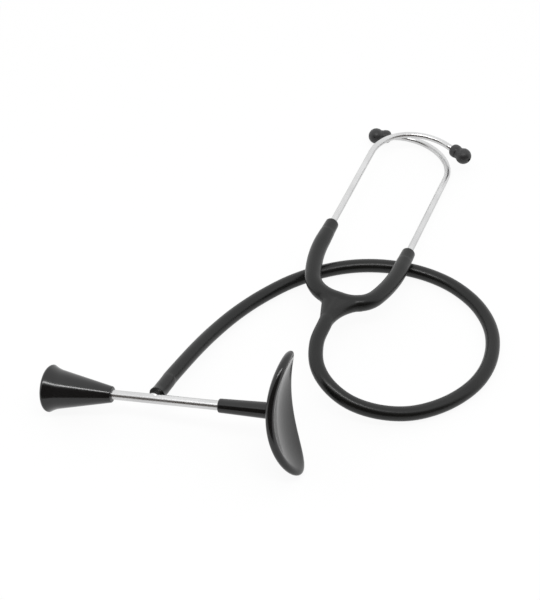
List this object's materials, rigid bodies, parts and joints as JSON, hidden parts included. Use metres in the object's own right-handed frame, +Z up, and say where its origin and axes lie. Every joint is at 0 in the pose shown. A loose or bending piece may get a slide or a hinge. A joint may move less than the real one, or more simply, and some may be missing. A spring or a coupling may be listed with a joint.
{
  "type": "fetal stethoscope",
  "caption": "Fetal stethoscope with a black horn and an oval forehead rest on a metal sound tube, and a headset of crossed ear tubes on a Y of soft tubing.",
  "frame": {"origin": "centre of the bounding box of the rigid pieces, on the surface that it lies on", "axes": "+Z up from the surface; the sound tube heads along +X from the horn to the forehead rest; +Y is the longest way, towards the ear tips"},
  "size_m": [0.2885, 0.3491, 0.0755],
  "materials": {
    "moulding": "polished black moulding",
    "chrome_tube": "bright chrome plate on brass tube",
    "tubing": "satin black soft tubing",
    "spring_steel": "plain spring strip",
    "nipple": "nickel plate on turned brass",
    "ear_tip": "soft matt black"
  },
  "bodies": {
    "listening_piece": {"horn": "moulding", "sound_tube": "chrome_tube", "branch_spigot": "chrome_tube", "main_tubing": "tubing", "tubing_yoke": "tubing", "leaf_spring": "spring_steel"},
    "rest": {"forehead_rest": "moulding"},
    "left_arm": {"left_arm_tube": "tubing"},
    "right_arm": {"right_arm_tube": "tubing"},
    "left_ear": {"left_ear_tube": "chrome_tube", "left_tip_nipple": "nipple", "left_eartip": "ear_tip"},
    "right_ear": {"right_ear_tube": "chrome_tube", "right_tip_nipple": "nipple", "right_eartip": "ear_tip"}
  },
  "joints": [
    {"name": "rest_swivel", "type": "hinge", "parent": "listening_piece", "child": "rest", "pos_m": [0.0058, -0.1445, 0.03284], "axis": [0.9906, 0, 0.1371], "continuous": true},
    {"name": "left_arm_spread", "type": "hinge", "parent": "listening_piece", "child": "left_arm", "pos_m": [0.036, -0.02514, 0.02462], "axis": [0.0621, 0.0577, 0.9964], "range_deg": [0, 35], "stiffness_Nm_per_rad": 0.35, "deforming": ["left_arm_tube", "leaf_spring"]},
    {"name": "right_arm_spread", "type": "hinge", "parent": "listening_piece", "child": "right_arm", "pos_m": [0.06721, -0.0302, 0.02296], "axis": [-0.0621, -0.0577, -0.9964], "range_deg": [0, 35], "stiffness_Nm_per_rad": 0.35, "deforming": ["right_arm_tube", "leaf_spring"]},
    {"name": "left_ear_twist", "type": "hinge", "parent": "left_arm", "child": "left_ear", "pos_m": [0.03262, 0.04342, 0.02321], "axis": [-0.1582, -0.9869, 0.0319], "range_deg": [0, 30]},
    {"name": "right_ear_twist", "type": "hinge", "parent": "right_arm", "child": "right_ear", "pos_m": [0.09155, 0.03356, 0.0154], "axis": [-0.1538, -0.9829, 0.1016], "range_deg": [0, 30]}
  ]
}
